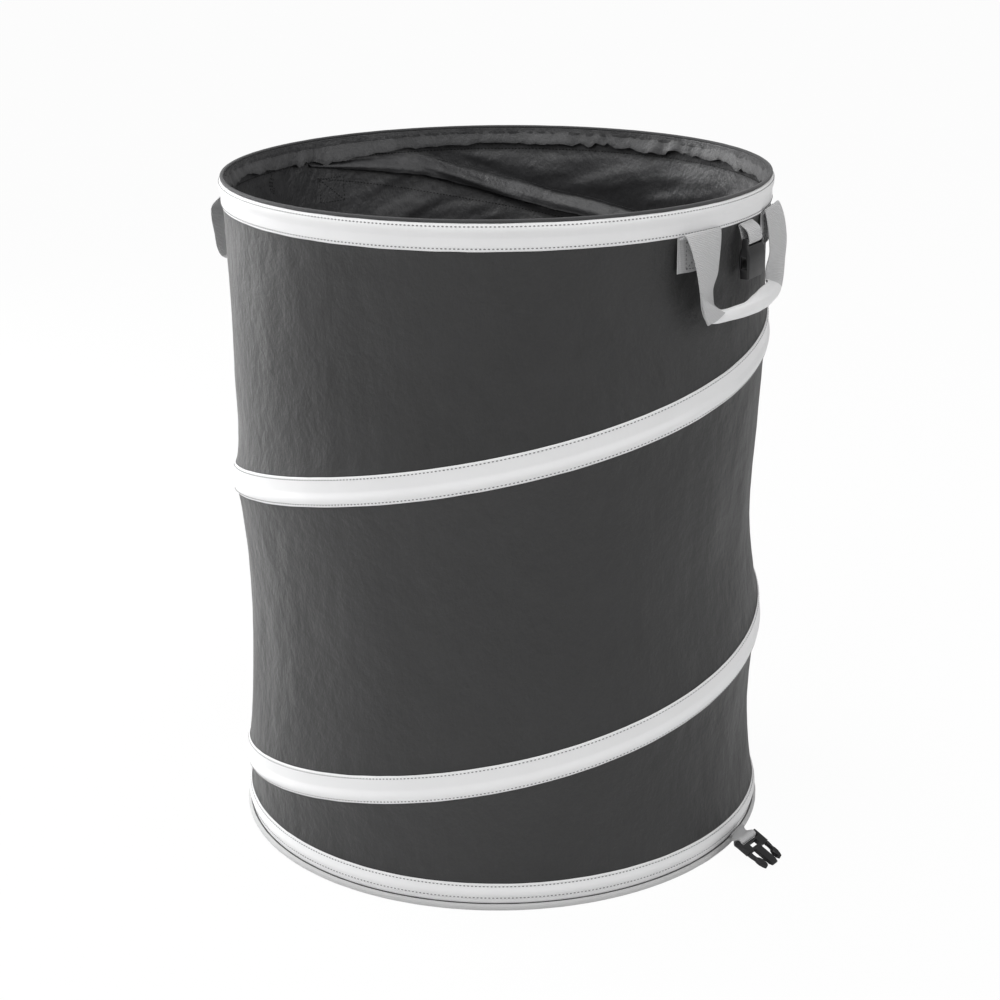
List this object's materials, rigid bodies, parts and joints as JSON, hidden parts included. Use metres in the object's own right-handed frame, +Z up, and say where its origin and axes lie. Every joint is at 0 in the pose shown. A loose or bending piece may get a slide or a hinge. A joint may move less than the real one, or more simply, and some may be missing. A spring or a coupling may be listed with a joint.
{
  "type": "pop up leaf bag",
  "caption": "Open cloth garden bag that a spiral spring wire holds up and that pushes flat, with webbing handles and side release buckles.",
  "frame": {"origin": "on the floor, at the middle of the underside of the foot", "axes": "+Z up along the bag's axis, +X towards the right handle and its buckles, +Y towards the rear"},
  "size_m": [0.6142, 0.506, 0.622],
  "materials": {
    "wall_cloth": "matt coated woven cloth",
    "base_cloth": "matt coated woven cloth",
    "lining": "satin coated cloth",
    "dark_binding": "folded binding tape",
    "tape": "smooth light cloth tape",
    "grosgrain": "ribbed binding tape",
    "handle_webbing": "ribbed woven webbing",
    "tab_webbing": "ribbed woven webbing",
    "spring_wire": "drawn spring wire",
    "buckle_plastic": "satin moulded plastic"
  },
  "bodies": {
    "base": {"wall_panel": "wall_cloth", "base_panel": "base_cloth", "base_band": "tape", "base_binding": "grosgrain", "base_hoop_wire": "spring_wire", "spiral_band": "tape", "spiral_wire": "spring_wire"},
    "rim": {"rim_band": "tape", "rim_piping": "dark_binding", "rim_facing": "lining", "rim_hoop_wire": "spring_wire", "right_handle_front_end": "handle_webbing", "right_handle_rear_end": "handle_webbing", "left_handle_front_end": "handle_webbing", "left_handle_rear_end": "handle_webbing"},
    "right_handle": {"right_handle": "handle_webbing"},
    "left_handle": {"left_handle": "handle_webbing"},
    "right_upper_tab": {"right_upper_tab": "tab_webbing"},
    "left_upper_tab": {"left_upper_tab": "tab_webbing"},
    "right_socket": {"right_socket_buckle": "buckle_plastic"},
    "left_socket": {"left_socket_buckle": "buckle_plastic"},
    "right_lower_tab": {"right_lower_tab": "tab_webbing"},
    "left_lower_tab": {"left_lower_tab": "tab_webbing"},
    "right_plug": {"right_plug_buckle": "buckle_plastic"},
    "left_plug": {"left_plug_buckle": "buckle_plastic"},
    "right_front_prong": {"right_plug_front_prong": "buckle_plastic"},
    "right_rear_prong": {"right_plug_rear_prong": "buckle_plastic"},
    "left_front_prong": {"left_plug_front_prong": "buckle_plastic"},
    "left_rear_prong": {"left_plug_rear_prong": "buckle_plastic"}
  },
  "joints": [
    {"name": "rim_collapse", "type": "slide", "parent": "base", "child": "rim", "axis": [0, 0, -1], "range_m": [0, 0.542], "stiffness_N_per_m": 60, "springref_m": -0.15, "deforming": ["wall_panel", "spiral_band", "spiral_wire", "right_handle_front_end", "right_handle_rear_end", "left_handle_front_end", "left_handle_rear_end", "right_handle", "left_handle"]},
    {"name": "right_handle_swing", "type": "hinge", "parent": "rim", "child": "right_handle", "pos_m": [0.2419, 0, 0.5948], "axis": [0, -1, 0], "range_deg": [0, 150]},
    {"name": "left_handle_swing", "type": "hinge", "parent": "rim", "child": "left_handle", "pos_m": [-0.2419, 0, 0.5948], "axis": [0, 1, 0], "range_deg": [0, 150]},
    {"name": "right_upper_tab_swing", "type": "hinge", "parent": "rim", "child": "right_upper_tab", "pos_m": [0.25048, 0.0035, 0.5938], "axis": [0.014, -0.9999, 0], "range_deg": [0, 70]},
    {"name": "left_upper_tab_swing", "type": "hinge", "parent": "rim", "child": "left_upper_tab", "pos_m": [-0.25048, -0.0035, 0.5938], "axis": [-0.014, 0.9999, 0], "range_deg": [0, 70]},
    {"name": "right_socket_swing", "type": "hinge", "parent": "right_upper_tab", "child": "right_socket", "pos_m": [0.25683, 0.00359, 0.58133], "axis": [0.014, -0.9999, 0], "range_deg": [0, 75]},
    {"name": "left_socket_swing", "type": "hinge", "parent": "left_upper_tab", "child": "left_socket", "pos_m": [-0.25683, -0.00359, 0.58133], "axis": [-0.014, 0.9999, 0], "range_deg": [0, 75]},
    {"name": "right_lower_tab_swing", "type": "hinge", "parent": "base", "child": "right_lower_tab", "pos_m": [0.25241, 0.01721, 0.008], "axis": [-0.068, 0.9977, 0], "range_deg": [-50, 0]},
    {"name": "left_lower_tab_swing", "type": "hinge", "parent": "base", "child": "left_lower_tab", "pos_m": [-0.25241, -0.01721, 0.008], "axis": [0.068, -0.9977, 0], "range_deg": [-50, 0]},
    {"name": "right_plug_swing", "type": "hinge", "parent": "right_lower_tab", "child": "right_plug", "pos_m": [0.2738, -0.00749, 0.0178], "axis": [-0.1045, -0.9945, 0], "range_deg": [0, 50]},
    {"name": "left_plug_swing", "type": "hinge", "parent": "left_lower_tab", "child": "left_plug", "pos_m": [-0.2738, 0.00749, 0.0178], "axis": [0.1045, 0.9945, 0], "range_deg": [0, 50]},
    {"name": "right_front_prong_flex", "type": "hinge", "parent": "right_plug", "child": "right_front_prong", "pos_m": [0.28569, -0.02302, 0.01139], "axis": [0.4281, -0.045, 0.9026], "range_deg": [0, 7], "stiffness_Nm_per_rad": 0.35},
    {"name": "right_rear_prong_flex", "type": "hinge", "parent": "right_plug", "child": "right_rear_prong", "pos_m": [0.28866, 0.00522, 0.01139], "axis": [-0.4281, 0.045, -0.9026], "range_deg": [0, 7], "stiffness_Nm_per_rad": 0.35},
    {"name": "left_rear_prong_flex", "type": "hinge", "parent": "left_plug", "child": "left_rear_prong", "pos_m": [-0.28569, 0.02302, 0.01139], "axis": [-0.4281, 0.045, 0.9026], "range_deg": [0, 7], "stiffness_Nm_per_rad": 0.35},
    {"name": "left_front_prong_flex", "type": "hinge", "parent": "left_plug", "child": "left_front_prong", "pos_m": [-0.28866, -0.00522, 0.01139], "axis": [0.4281, -0.045, -0.9026], "range_deg": [0, 7], "stiffness_Nm_per_rad": 0.35}
  ],
  "couplings": [
    {"joint": "right_upper_tab_swing", "follows": "rim_collapse", "rad_per_m": 2.254},
    {"joint": "left_upper_tab_swing", "follows": "rim_collapse", "rad_per_m": 2.254}
  ]
}
